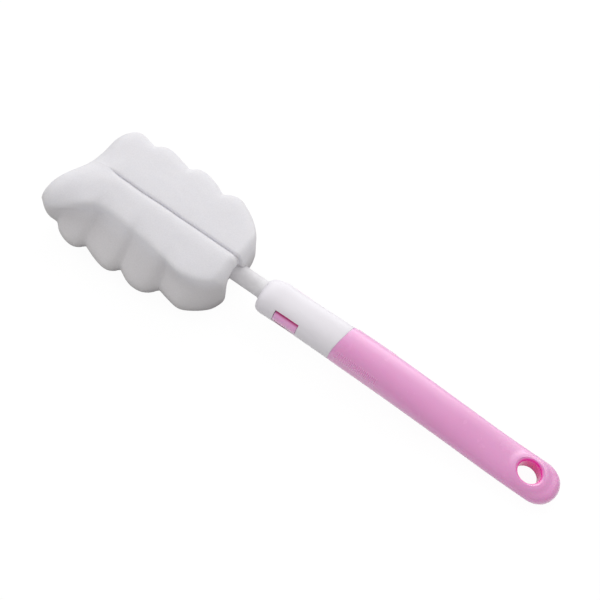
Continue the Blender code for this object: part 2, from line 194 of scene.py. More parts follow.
def ramped(tree, source, low, high, start=0.3, end=0.7):
    """Two colours or values, the second where the source is high."""
    made = tree.nodes.new("ShaderNodeValToRGB")
    made.color_ramp.elements[0].position = start
    made.color_ramp.elements[1].position = end
    made.color_ramp.elements[0].color = (*low, 1)
    made.color_ramp.elements[1].color = (*high, 1)
    tree.links.new(source, made.inputs["Fac"])
    return made.outputs["Color"]


def bumped(tree, shader, source, height, strength=1.0):
    """Raises the surface by the source, up to a height in metres."""
    made = tree.nodes.new("ShaderNodeBump")
    made.inputs["Distance"].default_value = height
    made.inputs["Strength"].default_value = strength
    tree.links.new(source, made.inputs["Height"])
    tree.links.new(made.outputs["Normal"], shader.inputs["Normal"])


COLOUR_WAVES = 28
WEAR_WAVES = 160
PEEL_WAVES = 420


def moulded_plastic(name, colour, deeper, roughness, peel, gloss=0.0, light_reach=(1, 1, 1), scatter=0.35):
    """Injection-moulded plastic: colour that varies a little, uneven gloss and a faint orange peel."""
    made, tree, shader = finish_nodes(name, colour, roughness)
    tree.links.new(ramped(tree, grain(tree, COLOUR_WAVES), deeper, colour), shader.inputs["Base Color"])
    wear = ramped(tree, grain(tree, WEAR_WAVES, 5), (roughness * 0.85,) * 3, (roughness * 1.2,) * 3)
    tree.links.new(wear, shader.inputs["Roughness"])
    shader.inputs["Coat Weight"].default_value = gloss
    shader.inputs["Coat Roughness"].default_value = 0.4
    shader.inputs["Coat IOR"].default_value = 1.8
    shader.inputs["Subsurface Weight"].default_value = scatter
    shader.inputs["Subsurface Radius"].default_value = light_reach
    shader.inputs["Subsurface Scale"].default_value = 0.003
    bumped(tree, shader, grain(tree, PEEL_WAVES, 2), peel)
    return made


def recoloured(tree, shader, share, colour):
    """Gives the base another colour where the share is 0, and leaves it as it is where the share is 1."""
    mix = tree.nodes.new("ShaderNodeMix")
    mix.data_type = "RGBA"
    mix.inputs[6].default_value = (*colour, 1)
    tree.links.new(share, mix.inputs["Factor"])
    tree.links.new(shader.inputs["Base Color"].links[0].from_socket, mix.inputs[7])
    tree.links.new(mix.outputs[2], shader.inputs["Base Color"])


def distance_from_upright(tree, middle):
    """The distance from an upright line through the middle."""
    moved = tree.nodes.new("ShaderNodeMapping")
    moved.inputs["Location"].default_value = (-middle[0], -middle[1], 0)
    moved.inputs["Scale"].default_value = (1, 1, 0)
    tree.links.new(object_place(tree), moved.inputs["Vector"])
    made = tree.nodes.new("ShaderNodeVectorMath")
    made.operation = "LENGTH"
    tree.links.new(moved.outputs["Vector"], made.inputs[0])
    return made.outputs["Value"]


HANDLE_LENGTH = 0.13025
FRONT_HALF_WIDTH = 0.0104
END_HALF_WIDTH = 0.0118
FRONT_HALF_THICKNESS = 0.0080
END_HALF_THICKNESS = 0.0043
TAPER_LENGTH = 0.108
WIDENING = 0.6
BOW = 0.0006
BOW_RISE = 0.040
BOW_END_X = 0.104
EDGE_ROUNDING = 0.0040
HOLE_RADIUS = 0.0062
HOLE_X = 0.1128
HOLE_MIDDLE_Z = -0.0037
HOLE_LIP = 0.0013
HOLE_RIM_HEIGHT = 0.0005
HOLE_RIM_RADIUS = 0.0090
HOLE_RIM_FALL = 0.0030
HOLE_RIM_BLEND = 0.003
HOLE_SHADE_FADE = 0.0002
SEAM_SKEW = 0.0030
SEAM_GAP = 0.00006
SEAM_EDGE = 0.0001
TANG_FRONT_X = -0.0412
TANG_HALF_WIDTH = 0.0083
TANG_HALF_THICKNESS = 0.0059
TANG_LEAD_IN = 0.0010
POCKET_FLOOR_Y = 0.0027
POCKET_HALF_HEIGHT = 0.0052
POCKET_END_GAP = 0.0003
CUT_OVERRUN = 0.004
TONGUE_ROOT_X = -0.0045
RIB_PITCH = 0.0010
RIB_COUNT = 24
RIBS_START_X = 0.0022
RIB_HEIGHT = 0.00030
RIB_ROWS = 6
RIBS_FROM_SIDE = 7
RIBS_TO_SIDE = 43
RIBS_FADE = 3
HANDLE_SIDES = 160
GRIP_ROWS = 120
TIP_ROWS = 33
SEAM_ROWS = 5
HOLE_LIP_STEPS = 8
HOLE_SIDES = 96


def rib_height(x, turn):
    """How far the ribs stand up, on a patch that is given in degrees up from each side."""
    along = (x - RIBS_START_X) / RIB_PITCH
    turn = turn % math.tau
    if along <= 0 or along >= RIB_COUNT or turn > math.pi:
        return 0
    from_side = math.degrees(min(turn, math.pi - turn))
    sides = ease((from_side - RIBS_FROM_SIDE) / RIBS_FADE) * ease((RIBS_TO_SIDE - from_side) / RIBS_FADE)
    return RIB_HEIGHT * math.sin(math.pi * (along % 1)) ** 2 * sides


def handle_half_thickness(x):
    fall = ease(x / TAPER_LENGTH)
    return FRONT_HALF_THICKNESS + fall * (END_HALF_THICKNESS - FRONT_HALF_THICKNESS)


def handle_point(x, turn, drawn_in=0.0):
    """A point on the grip's skin, drawn in where the edge at the seam is rounded over."""
    full_width = FRONT_HALF_WIDTH + min(x / HOLE_X, 1) ** WIDENING * (END_HALF_WIDTH - FRONT_HALF_WIDTH)
    width = rounded_end(full_width, END_HALF_WIDTH, HANDLE_LENGTH - x) - drawn_in
    thickness = rounded_end(handle_half_thickness(x), EDGE_ROUNDING, HANDLE_LENGTH - x) - drawn_in
    skew = SEAM_SKEW * (1 - ease(x / FRONT_HALF_WIDTH))
    bow = BOW * ease(x / BOW_RISE) * ease((BOW_END_X - x) / BOW_RISE)
    middle_z = handle_half_thickness(x) - FRONT_HALF_THICKNESS + bow
    out = rib_height(x, turn)
    made = oval_point(x, width + out, thickness + out, turn, skew=skew, middle_z=middle_z)
    from_hole = math.hypot(made.x - HOLE_X, made.y)
    if made.z > middle_z:
        rim = 1 - ease((from_hole - HOLE_RIM_RADIUS) / HOLE_RIM_FALL)
        made.z += HOLE_RIM_HEIGHT * rim * ease((made.z - middle_z) / HOLE_RIM_BLEND)
    return made


handle_rows = [
    (TANG_FRONT_X, TANG_HALF_WIDTH - TANG_LEAD_IN, TANG_HALF_THICKNESS - TANG_LEAD_IN, 0),
    (TANG_FRONT_X + TANG_LEAD_IN, TANG_HALF_WIDTH, TANG_HALF_THICKNESS, 0),
    (SEAM_GAP / 2, TANG_HALF_WIDTH, TANG_HALF_THICKNESS, SEAM_SKEW),
]
grip_rows = []
for i in range(SEAM_ROWS):
    turn = math.pi / 2 * i / (SEAM_ROWS - 1)
    grip_rows.append((SEAM_GAP / 2 + SEAM_EDGE * (1 - math.cos(turn)), SEAM_EDGE * (1 - math.sin(turn))))
ribs_end_x = RIBS_START_X + RIB_COUNT * RIB_PITCH
grip_rows += [(RIBS_START_X + RIB_PITCH * i / RIB_ROWS, 0) for i in range(RIB_COUNT * RIB_ROWS + 1)]
tip_start_x = HANDLE_LENGTH - END_HALF_WIDTH
grip_rows += [(ribs_end_x + (tip_start_x - ribs_end_x) * i / GRIP_ROWS, 0) for i in range(1, GRIP_ROWS + 1)]
for i in range(1, TIP_ROWS):
    grip_rows.append((tip_start_x + END_HALF_WIDTH * math.sin(math.pi / 2 * i / TIP_ROWS), 0))

work, points = drum(HANDLE_SIDES, len(handle_rows) + len(grip_rows))
for (side, row), corner in points.items():
    turn = math.tau * side / HANDLE_SIDES
    if row < len(handle_rows):
        x, width, thickness, skew = handle_rows[row]
        corner.co = oval_point(x, width, thickness, turn, skew=skew)
    else:
        x, drawn_in = grip_rows[row - len(handle_rows)]
        corner.co = handle_point(x, turn, drawn_in)

HANDLE_PINK = (0.85, 0.335, 0.68)
HANDLE_PINK_DEEP = (0.83, 0.31, 0.65)
# Painted shade: a deep, saturated magenta for the wall of the hanging hole, for the shade and coloured bounce
# light inside the hole.
HOLE_WALL_PAINTED_SHADE = (0.96, 0.025, 0.46)
PINK_LIGHT_REACH = (1, 0.35, 0.7)
PINK_ROUGHNESS = 0.24
HANDLE_PEEL = 0.000015
handle_finish = moulded_plastic("handle_gloss_pink", HANDLE_PINK, HANDLE_PINK_DEEP, PINK_ROUGHNESS,
                                HANDLE_PEEL, gloss=1.0, light_reach=PINK_LIGHT_REACH)
tree = handle_finish.node_tree
shader = tree.nodes["Principled BSDF"]
# Painted shade: the wall of the hanging hole is coloured deep magenta for the shade inside it. The coat is
# also taken off there.
from_hole = distance_from_upright(tree, LAID_DOWN @ Vector((HOLE_X, 0, HOLE_MIDDLE_Z)))
outside_hole = share_between(tree, from_hole, HOLE_RADIUS + HOLE_SHADE_FADE, HOLE_RADIUS + HOLE_LIP)
recoloured(tree, shader, outside_hole, HOLE_WALL_PAINTED_SHADE)
tree.links.new(outside_hole, shader.inputs["Coat Weight"])
handle = to_object("grip_and_tang", work, handle_finish)

for side in (-1, 1):
    low_y, high_y = sorted((side * POCKET_FLOOR_Y, side * (TANG_HALF_WIDTH + CUT_OVERRUN)))
    low = (TANG_FRONT_X - CUT_OVERRUN, low_y, -POCKET_HALF_HEIGHT)
    high = (TONGUE_ROOT_X + POCKET_END_GAP, high_y, POCKET_HALF_HEIGHT)
    cut(handle, to_object("pocket_cutter", block(low, high)))

work = bmesh.new()
profile = [(END_HALF_THICKNESS + CUT_OVERRUN, HOLE_RADIUS + HOLE_LIP + CUT_OVERRUN)]
for i in range(HOLE_LIP_STEPS + 1):
    turn = math.pi / 2 * i / HOLE_LIP_STEPS
    depth = END_HALF_THICKNESS - HOLE_LIP * (1 - math.cos(turn))
    profile.append((depth, HOLE_RADIUS + HOLE_LIP * (1 - math.sin(turn))))
profile += [(-depth, radius) for depth, radius in reversed(profile)]
chain = [work.verts.new((radius, 0, depth)) for depth, radius in profile]
for one, after in zip(chain, chain[1:]):
    work.edges.new((one, after))
bmesh.ops.spin(work, geom=work.verts[:] + work.edges[:], axis=(0, 0, 1), cent=(0, 0, 0), angle=math.tau,
               steps=HOLE_SIDES, use_merge=True)
bmesh.ops.holes_fill(work, edges=[e for e in work.edges if e.is_boundary], sides=0)
bmesh.ops.translate(work, vec=(HOLE_X, 0, HOLE_MIDDLE_Z), verts=work.verts)
cut(handle, to_object("hole_cutter", work))
handle.data.set_sharp_from_angle(angle=SHARP_ANGLE)
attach(handle, "handle")
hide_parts("handle")

# Latch tongues
# Two springy tongues of the same pink plastic, moulded with the tang. Each has a raised button that stands
# in a window of the collar, and a thin arm behind it that bends when the button is pressed.
BUTTON_TOP = 0.0104
BUTTON_FLOOR = 0.0086
BUTTON_FRONT_X = -0.0355
BUTTON_BACK_X = -0.0219
BUTTON_END_EDGE = 0.0004
PAD_MIDDLE_Z = 0.0004
PAD_HALF_HEIGHT = 0.0033
PAD_CROWN = 0.0006
PAD_FLATNESS = 5
PAD_FULLNESS = 2.5
TONGUE_INNER_Y = 0.0063
TONGUE_HALF_HEIGHT = 0.0050
COLLAR_HALF_THICKNESS = 0.0080
BEHIND_BUTTON = 0.0003
PAD_STEPS = 32
SIDE_STEPS = 4
EDGE_STEPS = 6
TOP_STEPS = 12
ARM_STEPS = 8
TONGUE_SHARP_ANGLE = math.radians(50)

BUTTON_PINK = (0.95, 0.45, 0.80)
BUTTON_PINK_DEEP = (0.93, 0.42, 0.77)
# Painted shade: a deep magenta for the tongue's floor round the foot of the button's pad, for the shade in
# the groove beside the pad.
BUTTON_FOOT_PAINTED_SHADE = (0.66, 0.05, 0.28)
TONGUE_PEEL = 0.000012
FOOT_SHADE_OUT = 0.0084
FOOT_SHADE_FADE_OUT = 0.0096
FOOT_SHADE_BACK_FADE = 0.0002
tongue_finish = moulded_plastic("tongue_gloss_pink", BUTTON_PINK, BUTTON_PINK_DEEP, PINK_ROUGHNESS,
                                TONGUE_PEEL, gloss=0.6, light_reach=PINK_LIGHT_REACH)
tree = tongue_finish.node_tree
axes = object_axes(tree)
# Painted shade: the base turns deep magenta on the floor and low flanks round the pad, where the groove is in
# shade; the pad's face and the arm keep the plain pink.
on_pad = share_between(tree, worked_out(tree, "ABSOLUTE", axes["Y"]), FOOT_SHADE_OUT, FOOT_SHADE_FADE_OUT)
button_back = (LAID_DOWN @ Vector((BUTTON_BACK_X, 0, 0))).x
on_arm = share_between(tree, axes["X"], button_back, button_back + FOOT_SHADE_BACK_FADE)
recoloured(tree, tree.nodes["Principled BSDF"], worked_out(tree, "MAXIMUM", on_pad, on_arm), BUTTON_FOOT_PAINTED_SHADE)


def tongue_outside(x, z):
    """How far the tongue's outer face stands from the brush axis, with the button's pad raised on it."""
    if x > BUTTON_BACK_X:
        return TANG_HALF_WIDTH * (1 - (abs(z) / TANG_HALF_THICKNESS) ** SQUARENESS) ** (1 / SQUARENESS)
    wall = (1 - (abs(z) / COLLAR_HALF_THICKNESS) ** SQUARENESS) ** (1 / SQUARENESS)
    floor = BUTTON_FLOOR * wall
    reach = min(abs(z - PAD_MIDDLE_Z) / PAD_HALF_HEIGHT, 1)
    top = BUTTON_TOP - PAD_CROWN * reach**2 - floor
    end = min(x - BUTTON_FRONT_X, BUTTON_BACK_X - x)
    drawn_in = BUTTON_END_EDGE - rounded_end(BUTTON_END_EDGE, BUTTON_END_EDGE, end)
    return floor + top * (1 - reach**PAD_FLATNESS) ** (1 / PAD_FULLNESS) - drawn_in


edge_turns = [math.pi / 2 * i / EDGE_STEPS for i in range(EDGE_STEPS + 1)]
edge_steps = [2 * BUTTON_END_EDGE * (1 - math.cos(turn)) for turn in edge_turns]
button_length = BUTTON_BACK_X - BUTTON_FRONT_X - 4 * BUTTON_END_EDGE
along = [BUTTON_FRONT_X + step for step in edge_steps]
along += [BUTTON_FRONT_X + 2 * BUTTON_END_EDGE + button_length * i / TOP_STEPS for i in range(1, TOP_STEPS)]
along += [BUTTON_BACK_X - step for step in reversed(edge_steps)]
arm_front_x = BUTTON_BACK_X + BEHIND_BUTTON
along += [arm_front_x + (TONGUE_ROOT_X - arm_front_x) * i / ARM_STEPS for i in range(ARM_STEPS + 1)]
pad = [PAD_MIDDLE_Z - PAD_HALF_HEIGHT * math.cos(math.pi * i / PAD_STEPS) for i in range(PAD_STEPS + 1)]
upward = [-TONGUE_HALF_HEIGHT + (pad[0] + TONGUE_HALF_HEIGHT) * i / SIDE_STEPS for i in range(SIDE_STEPS)]
upward += pad
upward += [pad[-1] + (TONGUE_HALF_HEIGHT - pad[-1]) * i / SIDE_STEPS for i in range(1, SIDE_STEPS + 1)]

for name, side in (("near", -1), ("far", 1)):
    work = bmesh.new()
    bmesh.ops.create_grid(work, x_segments=len(along) - 1, y_segments=len(upward) - 1, size=1)
    for corner in work.verts:
        x = along[round((corner.co.x + 1) / 2 * (len(along) - 1))]
        z = upward[round((corner.co.y + 1) / 2 * (len(upward) - 1))]
        corner.co = (x, side * TONGUE_INNER_Y, z)
    raised = bmesh.ops.extrude_face_region(work, geom=work.faces[:])
    for corner in (v for v in raised["geom"] if isinstance(v, bmesh.types.BMVert)):
        corner.co.y = side * tongue_outside(corner.co.x, corner.co.z)
    tongue = to_object("latch_tongue_" + name + "_skin", work, tongue_finish, TONGUE_SHARP_ANGLE)
    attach(tongue, "latch_" + name)
    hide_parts("latch_tongue_" + name)

# Collar
# A white moulded sleeve of smoother, harder plastic. It has a domed nose that holds the stem, a socket for
# the tang, and a window in each side in which the latch buttons stand.
COLLAR_FRONT_X = -0.0473
COLLAR_HALF_WIDTH = 0.0104
COLLAR_WALL = 0.0018
NOSE_LENGTH = 0.0085
SHOULDER_SWELL = 0.0001
NOSE_SLANT = 0.9
NOSE_FULLNESS = 0.8
WAIST = 0.0003
WAIST_START = 0.006
WAIST_END_X = -0.008
WAIST_FADE = 0.010
FRONT_SHIFT = 0.0003
SHIFT_START_X = -0.010
SHIFT_FADE = 0.020
SOCKET_FRONT_X = -0.0422
SEAT_RADIUS = 0.0043
NOSE_FACE_RADIUS = 0.0053
WINDOW_FRONT_X = -0.0357
WINDOW_BACK_X = -0.0217
WINDOW_HALF_HEIGHT = 0.0053
WINDOW_EDGE = 0.0002
WINDOW_EDGE_STEPS = 3
COLLAR_SIDES = 96
WINDOW_SIDES = 8
NOSE_STEPS = 14
SHOULDER_STEPS = 8


def collar_turn(side, half_thickness):
    """The turn of a side's line on the section, so that some lines run along the windows' edges."""
    quarter = COLLAR_SIDES // 4
    to_window = math.asin((WINDOW_HALF_HEIGHT / half_thickness) ** (SQUARENESS / 2))
    half_turns, step = divmod(side, 2 * quarter)
    mirrored = step > quarter
    if mirrored:
        step = 2 * quarter - step
    if step <= WINDOW_SIDES:
        turn = to_window * step / WINDOW_SIDES
    else:
        turn = to_window + (math.pi / 2 - to_window) * (step - WINDOW_SIDES) / (quarter - WINDOW_SIDES)
    return math.pi * half_turns + (math.pi - turn if mirrored else turn)


inner_width = COLLAR_HALF_WIDTH - COLLAR_WALL
inner_thickness = COLLAR_HALF_THICKNESS - COLLAR_WALL
seat_rows = [(x, SEAT_RADIUS, SEAT_RADIUS, ROUND, 0) for x in (SOCKET_FRONT_X, COLLAR_FRONT_X)]
collar_rows = []
for i in range(NOSE_STEPS + 1):
    turn = math.pi / 2 * i / NOSE_STEPS
    full = math.sin(turn) ** NOSE_FULLNESS
    x = COLLAR_FRONT_X + NOSE_LENGTH * (1 - math.cos(turn))
    width = NOSE_FACE_RADIUS + (COLLAR_HALF_WIDTH + SHOULDER_SWELL - NOSE_FACE_RADIUS) * full
    thickness = NOSE_FACE_RADIUS + (COLLAR_HALF_THICKNESS + SHOULDER_SWELL - NOSE_FACE_RADIUS) * full
    collar_rows.append((x, width, thickness, ROUND + (SQUARENESS - ROUND) * math.sin(turn), 0))
for i in range(1, SHOULDER_STEPS + 1):
    x = COLLAR_FRONT_X + NOSE_LENGTH + NOSE_LENGTH * i / SHOULDER_STEPS
    extra = SHOULDER_SWELL * (1 - ease(i / SHOULDER_STEPS))
    collar_rows.append((x, COLLAR_HALF_WIDTH + extra, COLLAR_HALF_THICKNESS + extra, SQUARENESS, 0))
share = (WINDOW_FRONT_X - COLLAR_FRONT_X - NOSE_LENGTH) / NOSE_LENGTH
extra = SHOULDER_SWELL * (1 - ease(share))
window_front = (WINDOW_FRONT_X, COLLAR_HALF_WIDTH + extra, COLLAR_HALF_THICKNESS + extra, SQUARENESS, 0)
window_back = (WINDOW_BACK_X, COLLAR_HALF_WIDTH, COLLAR_HALF_THICKNESS, SQUARENESS, 0)
collar_rows = seat_rows + sorted([*collar_rows, window_front, window_back], key=lambda row: row[0])
outer_front = collar_rows.index(window_front)
outer_back = collar_rows.index(window_back)
for i in range(SEAM_ROWS):
    turn = math.pi / 2 * i / (SEAM_ROWS - 1)
    inset = SEAM_EDGE * (1 - math.cos(turn))
    x = -SEAM_GAP / 2 - SEAM_EDGE * (1 - math.sin(turn))
    collar_rows.append((x, COLLAR_HALF_WIDTH - inset, COLLAR_HALF_THICKNESS - inset, SQUARENESS, SEAM_SKEW))
collar_rows += [
    (-SEAM_GAP / 2, inner_width, inner_thickness, SQUARENESS, SEAM_SKEW),
    (WINDOW_BACK_X, inner_width, inner_thickness, SQUARENESS, 0),
    (WINDOW_FRONT_X, inner_width, inner_thickness, SQUARENESS, 0),
    (SOCKET_FRONT_X, inner_width, inner_thickness, SQUARENESS, 0),
]
inner_back = len(collar_rows) - 3
inner_front = len(collar_rows) - 2

work, points = drum(COLLAR_SIDES, len(collar_rows))
bmesh.ops.delete(work, geom=[f for f in work.faces if len(f.verts) > 4], context="FACES_ONLY")
for (side, row), corner in points.items():
    x, width, thickness, squareness, skew = collar_rows[row]
    line = COLLAR_HALF_THICKNESS if row <= outer_back + SEAM_ROWS else inner_thickness
    corner.co = oval_point(x, width, thickness, collar_turn(side, line), squareness, skew)
    if outer_front <= row <= outer_back:
        corner.co = oval_point(x, width, thickness, collar_turn(side, thickness), squareness, skew)
    across = corner.co.y / COLLAR_HALF_WIDTH
    if 1 < row < outer_front:
        share = (x - COLLAR_FRONT_X) / (WINDOW_FRONT_X - COLLAR_FRONT_X)
        corner.co.x += NOSE_SLANT * across * share * (1 - share) * (WINDOW_FRONT_X - COLLAR_FRONT_X)
    if row > 1 and x > SOCKET_FRONT_X:
        waist = ease((x - SOCKET_FRONT_X) / WAIST_START) * ease((WAIST_END_X - x) / WAIST_FADE)
        corner.co.y -= WAIST * waist * across
    corner.co.y -= FRONT_SHIFT * ease((SHIFT_START_X - corner.co.x) / SHIFT_FADE)
bmesh.ops.bridge_loops(work, edges=[e for e in work.edges if e.is_boundary])
for middle in (0, COLLAR_SIDES // 2):
    lines = [(middle + step) % COLLAR_SIDES for step in range(-WINDOW_SIDES, WINDOW_SIDES + 1)]
    window_rows = [*range(outer_front, outer_back + 1), inner_back, inner_front]
    in_window = {points[line, row] for line in lines for row in window_rows}
    faces = [f for f in work.faces if all(v in in_window for v in f.verts)]
    bmesh.ops.delete(work, geom=faces, context="FACES_ONLY")
    rims = [e for e in work.edges if e.is_boundary]
    bmesh.ops.bridge_loops(work, edges=rims)
    rim_points = {v for e in rims for v in e.verts}
    outer_rim = {points[line, row] for line in lines for row in range(outer_front, outer_back + 1)}
    sharp = [e for e in rims if e.is_valid and all(v in outer_rim for v in e.verts)]
    bmesh.ops.bevel(work, geom=sharp, offset=WINDOW_EDGE, segments=WINDOW_EDGE_STEPS, profile=0.5,
                    affect="EDGES", material=-1)

COLLAR_WHITE = (0.92, 0.895, 0.96)
COLLAR_WHITE_DEEP = (0.90, 0.875, 0.945)
COLLAR_ROUGHNESS = 0.34
COLLAR_PEEL = 0.00001
collar_finish = moulded_plastic("collar_satin_white", COLLAR_WHITE, COLLAR_WHITE_DEEP, COLLAR_ROUGHNESS,
                                COLLAR_PEEL, scatter=0.2)
collar = to_object("collar_sleeve", work, collar_finish)
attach(collar, "head")
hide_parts("head_collar")

# Stem
# A round white rod of duller plastic, pressed into the collar's nose. A barbed core goes on from it inside
# the foam, which is glued to the barbs.
STEM_RADIUS = 0.0050
STEM_ROOT_RADIUS = 0.0057
STEM_RISE = 0.0003
ROOT_STRAIGHT = 0.0002
ROOT_FILLET = 0.0018
FILLET_STEPS = 8
PLUG_LENGTH = 0.0052
PLUG_RADIUS = 0.0040
PLUG_CHAMFER = 0.0003
NOSE_OVERLAP = 0.0001
SPONGE_STEM_END_X = -0.0622
NECK_DEPTH = 0.006
CORE_DEPTH = 0.082
CORE_RADIUS = 0.0026
CORE_TIP_RADIUS = 0.0013
BARB_RADIUS = 0.0040
BARB_COUNT = 9
BARB_SHARE = 0.67
STEM_SIDES = 64
plug_end_x = COLLAR_FRONT_X + PLUG_LENGTH
shoulder_x = COLLAR_FRONT_X + NOSE_OVERLAP
stem_profile = [(plug_end_x, 0), (plug_end_x, PLUG_RADIUS - PLUG_CHAMFER)]
stem_profile += [(plug_end_x - PLUG_CHAMFER, PLUG_RADIUS)]
stem_profile += [(shoulder_x, PLUG_RADIUS), (shoulder_x, STEM_ROOT_RADIUS)]
for i in range(FILLET_STEPS + 1):
    share = i / FILLET_STEPS
    radius = STEM_RADIUS + (STEM_ROOT_RADIUS - STEM_RADIUS) * (1 - share) ** 2
    stem_profile.append((shoulder_x - ROOT_STRAIGHT - ROOT_FILLET * share, radius))
core_start_x = SPONGE_STEM_END_X - NECK_DEPTH
core_end_x = SPONGE_STEM_END_X - CORE_DEPTH
stem_profile += [(core_start_x, STEM_RADIUS), (core_start_x, CORE_RADIUS)]
barb_pitch = (CORE_DEPTH - 2 * NECK_DEPTH) / BARB_COUNT
for i in range(BARB_COUNT):
    back = core_start_x - NECK_DEPTH - i * barb_pitch
    stem_profile += [(back, CORE_RADIUS), (back, BARB_RADIUS), (back - barb_pitch * BARB_SHARE, CORE_RADIUS)]
stem_profile += [(core_end_x, CORE_TIP_RADIUS), (core_end_x, 0)]

work = bmesh.new()
chain = [work.verts.new((x, 0, radius)) for x, radius in stem_profile]
for one, after in zip(chain, chain[1:]):
    work.edges.new((one, after))
bmesh.ops.spin(work, geom=work.verts[:] + work.edges[:], axis=(1, 0, 0), cent=(0, 0, 0), angle=math.tau,
               steps=STEM_SIDES, use_merge=True)
bmesh.ops.remove_doubles(work, verts=work.verts, dist=MERGE_DISTANCE)
bmesh.ops.translate(work, vec=(0, 0, STEM_RISE), verts=work.verts)

STEM_WHITE = (0.88, 0.87, 0.90)
STEM_WHITE_DULL = (0.80, 0.79, 0.82)
STEM_ROUGHNESS = 0.55
STEM_MOTTLE_WAVES = 300
STEM_TEXTURE_WAVES = 1400
STEM_TEXTURE_HEIGHT = 0.00006
stem_finish, tree, shader = finish_nodes("stem_dull_white", STEM_WHITE_DULL, STEM_ROUGHNESS)
mottle = ramped(tree, grain(tree, STEM_MOTTLE_WAVES, 5), STEM_WHITE_DULL, STEM_WHITE)
tree.links.new(mottle, shader.inputs["Base Color"])
bumped(tree, shader, grain(tree, STEM_TEXTURE_WAVES, 3), STEM_TEXTURE_HEIGHT)
stem = to_object("stem_and_core", work, stem_finish)
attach(stem, "head")
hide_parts("head_stem")

# Sponge
# A head of soft white foam, cut to four scallops along each side, pressed in along its middle by the core
# that it is glued to. It lies on its lower side, where its own weight flattens it a little.
SPONGE_LENGTH = 0.0995
SPONGE_FAR_END_X = SPONGE_STEM_END_X - SPONGE_LENGTH
CROWN_HEIGHT = 0.0165
CREASE_HEIGHT = 0.0138
CREASE_FADE_START = 0.0120
CREASE_FADE = 0.0120
CREASE_FAR_HEIGHT = 0.0165
FAR_END_ROUNDING = 0.0095
FAR_END_THINNING = 0.72
STEM_END_ROUNDING = 0.0055
STEM_END_THINNING = 0.55
FAR_END_SLANT = 0.0086
SLANT_START_Y = 0.016
SLANT_WIDTH = 0.050
SLANT_LENGTH = 0.0260
FAR_END_PULL = 0.0040
NOTCHES = (0.0246, 0.0466, 0.0686)
SCALLOP_PITCH = 0.0220
NEAR_NOTCH_DEPTH = 0.0053
NEAR_RIM_NOTCH_DEPTH = 0.0012
FAR_NOTCH_DEPTH = 0.0047
CREST_SHARE = 1.7
NEAR_BULGE = 0.0013
NEAR_BULGE_RISE = 0.016
NEAR_FULLNESS = 0.6
FAR_FULLNESS = 0.8
NOTCH_SOFTNESS = 0.0014
OUTLINE_SOFTNESS = 0.0025
SOFTENING_STEPS = 3
SPONGE_SIDES = 300
SPONGE_SHARP_ANGLE = math.radians(80)
CURVE_SAMPLES = 480
CREASE_CLOSER = 4
CREASE_REACH = 0.005


def scallop_at(u, toward_stem, fullness):
    """How far an edge is drawn in, as a share of its depth: 1 at a notch, 0 on a crest.

    The crests stand off the middle between two notches, towards the stem or towards the far end."""
    at = (u - NOTCHES[0]) / SCALLOP_PITCH
    if at < -1 or at > len(NOTCHES):
        return 0
    share = at % 1
    if not toward_stem:
        share = 1 - share
    skewed = share / (CREST_SHARE * (1 - share) + 1)
    drawn = 1 - math.sin(math.pi * skewed) ** fullness
    past_crest = skewed > 0.5
    if at < 0 and past_crest != toward_stem or at > len(NOTCHES) - 1 and past_crest == toward_stem:
        return 0
    return drawn


def places_around(u, reach):
    """Evenly spaced places from a reach before u to a reach after it."""
    return [u + reach * step / SOFTENING_STEPS for step in range(-SOFTENING_STEPS, SOFTENING_STEPS + 1)]


def scallop(u, toward_stem, fullness):
    """The same with the notch rounded over a short reach."""
    places = places_around(u, NOTCH_SOFTNESS)
    return sum(scallop_at(place, toward_stem, fullness) for place in places) / len(places)


def along_table(table, u):
    """The value of a table of (u, value) pairs at u, with its corners smoothed over a reach."""
    total = 0
    places = places_around(u, OUTLINE_SOFTNESS)
    for place in places:
        at = min(max(place, table[0][0]), table[-1][0])
        for (left, low), (right_end, high) in zip(table, table[1:]):
            if at <= right_end:
                total += low + (high - low) * (at - left) / (right_end - left)
                break
    return total / len(places)


# How far the near rim, the near side below it and the far side stand out, by distance from the far end.
NEAR_EDGE = ((0, 0.0277), (0.0035, 0.0321), (0.0075, 0.0336), (0.0110, 0.0320), (0.0160, 0.0270),
             (0.0225, 0.0217), (0.030, 0.0194), (0.040, 0.0198), (0.046, 0.0210), (0.058, 0.0216),
             (0.069, 0.0240), (0.080, 0.0257), (0.090, 0.0233), (0.0965, 0.0185), (0.0995, 0.0140))
NEAR_LOW = ((0, 0.0254), (0.0050, 0.0290), (0.0090, 0.0308), (0.0125, 0.0336), (0.0155, 0.0358),
            (0.0205, 0.0367), (0.0270, 0.0360), (0.0330, 0.0365), (0.0410, 0.0366), (0.0470, 0.0358),
            (0.0550, 0.0374), (0.0610, 0.0362), (0.0690, 0.0330), (0.0720, 0.0326), (0.0830, 0.0316),
            (0.0860, 0.0302), (0.0890, 0.0279), (0.0920, 0.0251), (0.0950, 0.0213), (0.0975, 0.0166),
            (0.0995, 0.0118))
FAR_OUT = ((0, 0.0232), (0.0020, 0.0266), (0.0037, 0.0286), (0.0054, 0.0300), (0.0073, 0.0313),
           (0.0092, 0.0329), (0.0120, 0.0341), (0.0230, 0.0352), (0.0320, 0.0354), (0.0440, 0.0357),
           (0.0540, 0.0358), (0.0620, 0.0358), (0.0720, 0.0331), (0.0770, 0.0344), (0.0800, 0.0327),
           (0.0830, 0.0310), (0.0860, 0.0291), (0.0890, 0.0269), (0.0920, 0.0241), (0.0950, 0.0207),
           (0.0980, 0.0159), (0.0995, 0.0122))

